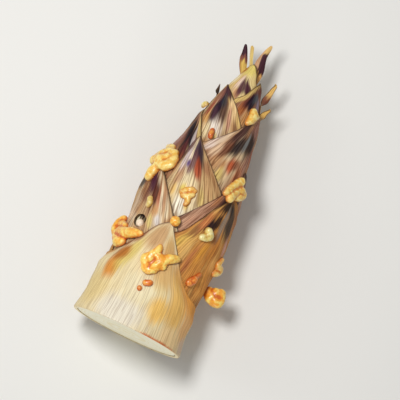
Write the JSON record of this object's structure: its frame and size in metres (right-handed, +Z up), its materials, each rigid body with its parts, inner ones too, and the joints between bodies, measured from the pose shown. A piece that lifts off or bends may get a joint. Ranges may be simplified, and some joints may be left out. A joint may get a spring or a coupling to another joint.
{
  "type": "bamboo shoot",
  "caption": "Cut bamboo shoot lying on its side: pointed, overlapping fibrous sheaths round a solid stem, tipped with narrow blades and stuck with fried crumb clumps.",
  "frame": {"origin": "middle of the footprint, on the plane that the shoot rests on", "axes": "+Y from the cut face towards the tip, +Z up, away from the surface, +X to the right seen from above with the tip ahead"},
  "size_m": [0.1022, 0.2468, 0.091],
  "materials": {
    "culm_flesh": "moist cut flesh, pale cream with faint rings",
    "sheath_pale": "dry fibrous husk, ivory to ochre and orange brown, fine lengthwise streaks",
    "sheath_brown": "dry fibrous husk, tan to dark brown streaks with cream foot",
    "sheath_dark": "dry fibrous husk, dark purple brown towards the tip, tan edges",
    "blade": "thin dry blade, tan with dark purple",
    "crumb_golden": "glossy golden fried crumb",
    "crumb_pale": "glossy pale fried crumb"
  },
  "bodies": {
    "root": {"culm": "culm_flesh", "sheath_base": "sheath_pale", "sheath_right_lower": "sheath_pale", "sheath_back_lower": "sheath_pale", "sheath_left_holed": "sheath_brown", "sheath_right_band": "sheath_brown", "sheath_centre": "sheath_brown", "sheath_back_middle": "sheath_brown", "sheath_left_middle": "sheath_brown", "sheath_right_middle": "sheath_brown", "sheath_left_rear": "sheath_dark", "sheath_left_upper": "sheath_dark", "sheath_back_upper": "sheath_dark", "sheath_right_upper": "sheath_dark", "sheath_top": "sheath_dark", "blade_left": "blade", "blade_thin": "blade", "blade_right": "blade", "crumb_left_large": "crumb_golden", "crumb_centre_large": "crumb_golden", "crumb_drop_upper": "crumb_golden", "crumb_drop_lower": "crumb_golden", "crumb_top_left_large": "crumb_golden", "crumb_ball": "crumb_golden", "crumb_flat_centre": "crumb_golden", "crumb_right_cluster": "crumb_golden", "crumb_tailed": "crumb_golden", "crumb_blade_foot": "crumb_golden", "crumb_lens": "crumb_golden", "crumb_right_edge": "crumb_golden", "crumb_right_low": "crumb_golden", "crumb_pale_cluster": "crumb_pale", "crumb_small_rim": "crumb_pale", "crumb_left_bump": "crumb_pale", "crumb_in_hole": "crumb_pale"}
  },
  "joints": []
}
